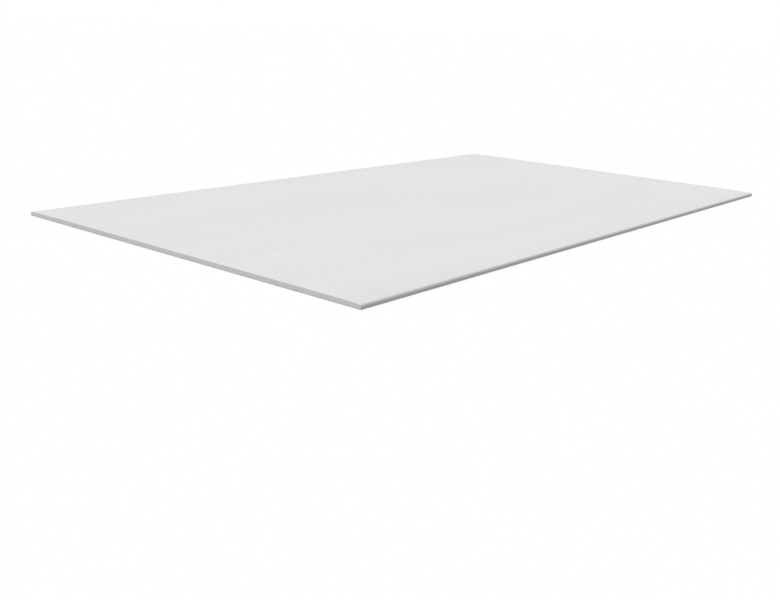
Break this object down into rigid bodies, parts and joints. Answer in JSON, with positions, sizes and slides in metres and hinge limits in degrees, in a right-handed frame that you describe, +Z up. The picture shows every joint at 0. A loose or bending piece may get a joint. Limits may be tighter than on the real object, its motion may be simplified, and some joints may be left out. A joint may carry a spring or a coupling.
{
  "type": "gypsum fibre floor board",
  "caption": "Thin flat rectangular gypsum fibre board for dry floors, with its long edges thinned and rounded on the face side and its ends sawn square.",
  "frame": {"origin": "centre of the underside", "axes": "+Z up out of the face, +Y along the length, +X across the width"},
  "size_m": [1.2, 2, 0.0125],
  "materials": {
    "gypsum_fibre": "fine sanded, matt"
  },
  "bodies": {
    "root": {"floor_board": "gypsum_fibre"}
  },
  "joints": []
}
